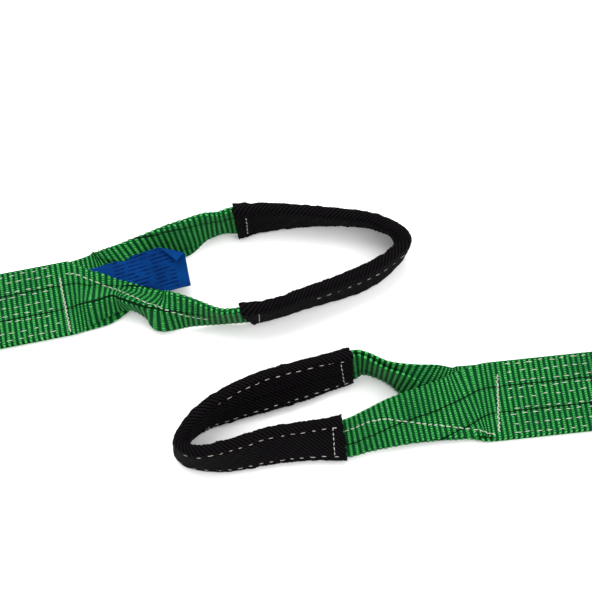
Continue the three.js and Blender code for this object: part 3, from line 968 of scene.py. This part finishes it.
def surface_dash(place, d0, v0, d1, v1):
    """A dash between two places on a web's outer face."""
    height = PLY_THICKNESS / 2 - THREAD_SUNK
    d, v = (d0 + d1) / 2, (v0 + v1) / 2
    spots = np.array([[d0, v0, height], [d1, v1, height], [d, v, height + 1], [d, v, height]])
    start, end, above, below = place(*spots.T[..., None])[:, 0]
    return start, end, unit(above - below)


# The places across the web of the body's rows of stitches, which share six seams at each end.
BODY_ROWS = (3.2, 10.0, 17.6, 22.4, 30.0, 37.4, 42.8, 50.2, 56.6)
BODY_SEAMS = 6
STITCH_PITCH = 8.2
STITCH_LENGTH = 4.0
LEG_STITCH_LENGTH = 3.2
SLEEVE_BAR_STITCH = 3.4
SLEEVE_BAR_FROM_MOUTH = 8.0
# How far the body's rows of stitches run on past the end piece, onto the body's own plies.
SEAM_RUN_ON = 30.0

# Each splice bar's start and end across the web, and how far along it is set at each.
SPLICE_BARS = {"a": (13.0, 57.5, -2.0, -0.5), "b": (5.5, 47.0, 1.8, -4.0)}


def make_body_seams(name, material):
    eye = EYE_PATHS[name]
    place = end_place(eye, 1)
    reach = END_PIECE_REACH[name] + SEAM_RUN_ON
    seams = [f"body_seam_{name}_{k}" for k in range(1, BODY_SEAMS + 1)]
    groups = np.array_split(np.arange(len(BODY_ROWS)), len(seams))
    for node, rows in zip(seams, groups):
        dashes = []
        for row in rows:
            at = 5.0 + draw(0, STITCH_PITCH)
            slant = draw(-0.02, 0.02)
            while at < reach:
                length = STITCH_LENGTH * draw(0.75, 1.2)
                v = BODY_ROWS[row] + slant * at + draw(-0.5, 0.5)
                drift = draw(-0.5, 0.5)
                dashes.append(surface_dash(place, -at, v, -at - length, v + drift))
                at += STITCH_PITCH * draw(0.85, 1.15)
        piece = thread_piece(f"{node}_stitches", dashes, 0.3, material, arch=0.2)
        ride_as(piece, "sling_body", node)

    dashes = []
    first, last, first_shift, last_shift = SPLICE_BARS[name]
    at, swing = first, 1
    while at < last:
        step = draw(1.5, 2.4)
        middle = np.interp(at, (first, last), (first_shift, last_shift))
        width = 0.8 * swing * draw(0.5, 1.3)
        dashes.append(surface_dash(place, middle - width, at, middle + width, at + step))
        if draw() < 0.45:
            start, end = (middle + 0.6 * swing, at + 0.4), (middle + 0.2 * swing, at + step + 0.8)
            dashes.append(surface_dash(place, *start, *end))
        at += step * 0.86
        swing = -swing
    piece = thread_piece(f"splice_bar_{name}_stitches", dashes, 0.36, material, arch=0.3)
    ride_as(piece, "sling_body", f"splice_bar_{name}")


# The line that holds each near leg's tucked half: [distance past the bar, place across the web].
LEG_SEAMS = {
    "a": [
        [3, 11], [12, 12.5], [24, 16.5], [32, 23], [40, 30],
        [54, 34], [70, 37.5], [84, 39], [98, 42.5], [112, 45],
    ],
    "b": [[5, 4], [21, 12], [33, 21], [46, 28.5], [62, 35.5], [76, 42], [87, 48], [98, 51], [114, 51.5]],
}


def make_leg_seam(name, material):
    eye = EYE_PATHS[name]
    place = end_place(eye, 1)
    table = np.array(LEG_SEAMS[name], float)
    ends = (table[0, 0], table[-1, 0])
    dashes = []
    at = ends[0]
    while at < ends[1]:
        length = LEG_STITCH_LENGTH * draw(0.75, 1.2)
        v0, v1 = (np.interp(d, table[:, 0], table[:, 1]) for d in (at, at + length))
        drift = draw(-0.45, 0.45)
        dashes.append(surface_dash(place, at, v0 - drift, at + length, v1 + drift))
        at += length + draw(0.7, 1.9)
    piece = thread_piece(f"eye_{name}_leg_stitches", dashes, 0.38, material, arch=0.3)
    bend_with_eye(piece, name, f"eye_{name}_leg_seam")


SLEEVE_DASH = 3.9
# Where each row of a sleeve's stitching is seen: its face (1 out, -1 in), its place across, and the shares
# of the sleeve's length between which it runs.
SLEEVE_ROWS = {
    "a": {
        "upper": [(1, 5.5, 0.18, 1.0)],
        "lower": [(-1, -SEAM_OFFSET, 0.0, 0.45), (1, -SEAM_OFFSET, 0.55, 1.0)],
    },
    "b": {
        "upper": [(1, SEAM_OFFSET, 0.0, 1.0), (-1, SEAM_OFFSET, 0.62, 1.0)],
        "lower": [(1, -SEAM_OFFSET, 0.0, 1.0), (-1, -SEAM_OFFSET, 0.56, 1.0)],
    },
}


def make_sleeve_seams(name, material):
    eye = EYE_PATHS[name]
    first, last = eye.sleeve
    length = last - first

    def spot(s, u, face):
        frames = eye.frames(eye.position_at(np.array([first + s])))
        out = face * (SLEEVE_THICKNESS / 2 + sleeve_puff(eye, s, length, u, (face + 1) / 2))
        return beside(frames, np.array([[u]]), np.array([[out]]))[0, 0], face * frames["normal"][0]

    def dash(s0, u0, s1, u1, face):
        start, normal = spot(s0, u0, face)
        return start, spot(s1, u1, face)[0], normal

    for seam, rows in SLEEVE_ROWS[name].items():
        dashes = []
        for face, offset, start, end in rows:
            at = 3.0 + (length - 9.0) * start + draw(0, 2)
            while at < 3.0 + (length - 9.0) * end:
                dash_length = SLEEVE_DASH * draw(0.8, 1.15)
                u = offset + draw(-0.3, 0.3)
                dashes.append(dash(at, u, at + dash_length, u + draw(-0.3, 0.3), face))
                at += dash_length + draw(3.2, 4.6)
        piece = thread_piece(f"eye_{name}_sleeve_{seam}_stitches", dashes, 0.34, material, arch=0.25)
        ride_as(piece, f"eye_{name}", f"eye_{name}_sleeve_seam_{seam}")
    for end_name, at in (("near", SLEEVE_BAR_FROM_MOUTH), ("far", length - SLEEVE_BAR_FROM_MOUTH)):
        dashes = []
        for face in (1, -1):
            u = -10.5
            while u < 10.0:
                step = SLEEVE_BAR_STITCH * draw(0.85, 1.15)
                shift = draw(-0.3, 0.3)
                dashes.append(dash(at + shift, u, at - shift, u + step, face))
                u += step + draw(0.5, 1.2)
        piece = thread_piece(f"eye_{name}_sleeve_{end_name}_bar_stitches", dashes, 0.32, material, arch=0.25)
        ride_as(piece, f"eye_{name}", f"eye_{name}_sleeve_bar_{end_name}")


# ---- the label ----

LABEL_THICKNESS = 0.5
LABEL_COLUMNS = 61
# The label's sewn-in root, which lies between the webbing, is its own piece up to here.
LABEL_ROOT_LENGTH = 22.0
# The turned corner: the way its crease faces, how far in from the corner it is, and its bend's radius.
LABEL_FOLD_DIRECTION = (-1.0, -2.0)
LABEL_FOLD_DEPTH = 9.8
LABEL_FOLD_RADIUS = 1.2


def label_line():
    """The label's centre line: its points' distances along it, their places and their three directions."""
    table = np.array(LABEL_ROWS, float)
    position = np.linspace(0, len(table) - 1, 121)
    rows = np.stack([catmull_rom(column, position) for column in table.T], axis=-1)
    middle = rows[:, :3]
    along = unit(np.gradient(middle, axis=0))
    flat = unit(along * [1, 1, 0])
    left = np.stack([-flat[:, 1], flat[:, 0], np.zeros(len(flat))], axis=-1)
    roll = np.radians(rows[:, 3])[:, None]
    across = unit(left * np.cos(roll) + UP * np.sin(roll))
    normal = unit(np.cross(along, across))
    return distances_along(middle), middle, along, across, normal


def on_label(line, distance, side, lift):
    """The points this far along the label's centre line, to its side and out from it."""
    s, middle, along, across, normal = line
    k = np.interp(distance, s, np.arange(len(s)))
    low = np.clip(np.floor(k).astype(int), 0, len(s) - 2)
    share = (k - low)[..., None]
    extra = np.maximum(distance - s[-1], 0.0)[..., None]

    def pick(values):
        return values[low] * (1 - share) + values[low + 1] * share
    on_line = pick(middle) + extra * pick(along)
    return on_line + side[..., None] * pick(across) + lift[..., None] * pick(normal)


def turn_corner(distance, side, length):
    """Turns the far upper corner over, onto the label's face: new distances and sides, and the lift."""
    direction = unit(np.array(LABEL_FOLD_DIRECTION))
    from_corner = (distance - length) * direction[0] + (side - LABEL_WIDTH / 2) * direction[1]
    past = LABEL_FOLD_DEPTH - from_corner
    wrapped = np.clip(past / LABEL_FOLD_RADIUS, 0, math.pi)
    flat_past = np.maximum(past - math.pi * LABEL_FOLD_RADIUS, 0.0)
    moved = np.where(past > 0, LABEL_FOLD_RADIUS * np.sin(wrapped) - flat_past * 0.93, past)
    lift = np.where(past > 0, LABEL_FOLD_RADIUS * (1 - np.cos(wrapped)) + flat_past * 0.34, 0.0)
    shift = past - moved
    return distance + shift * direction[0], side + shift * direction[1], lift


def make_label(material):
    line = label_line()
    s, length = line[0], line[0][-1]
    u = np.linspace(-LABEL_WIDTH / 2, LABEL_WIDTH / 2, LABEL_COLUMNS)
    distance, side = np.meshgrid(s, u, indexing="ij")
    sag = 0.9 * np.sin(math.pi * distance / length) * np.cos(math.pi * side / LABEL_WIDTH)
    sag = sag + 0.4 * wavy(distance + side, (31.0, 19.0), (0, 1))
    new_distance, new_side, lift = turn_corner(distance, side, length)
    top = on_label(line, new_distance, new_side, lift + sag)
    # The cloth's own normal, for its thickness.
    normal = unit(np.cross(np.gradient(top, axis=0), np.gradient(top, axis=1)))
    bottom = top - normal * LABEL_THICKNESS
    ring_points = np.concatenate([top, bottom[:, ::-1]], axis=1)
    places = np.stack([np.concatenate([grid, grid[:, ::-1]], 1) for grid in (distance, side)], axis=-1)
    cut = int(np.searchsorted(s, LABEL_ROOT_LENGTH))
    for name, part, node in (("label_root_cloth", slice(0, cut + 1), "label"),
                             ("label_cloth", slice(cut, None), "label_free_end")):
        rings = ring_points[part]
        points = rings.reshape(-1, 3)
        faces = outward(points, tube_faces(len(rings), 2 * LABEL_COLUMNS))
        piece = make_mesh(name, points, faces, places[part].reshape(-1, 2), material)
        if node == "label":
            bend_with_eye(piece, "a", node)
        else:
            bend = [tuple(in_frame(point)) for point in (LABEL_BEND_START, LABEL_BEND_END)]
            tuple(bend[0])
            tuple(bend[1])
            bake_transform(piece)
            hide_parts(node)


# ---- the assembly ----

make_camera()
make_light()
make_floor()
WEBBING = webbing_material()
SLEEVE_CLOTH = sleeve_material()
THREAD = thread_material("white_thread", colour(206, 206, 196))
LABEL_CLOTH = label_material()
make_body(WEBBING)
for eye_name in EYES:
    make_legs(eye_name, WEBBING)
    make_sleeve(eye_name, SLEEVE_CLOTH)
    make_body_seams(eye_name, THREAD)
    make_leg_seam(eye_name, THREAD)
    make_sleeve_seams(eye_name, THREAD)
make_label(LABEL_CLOTH)
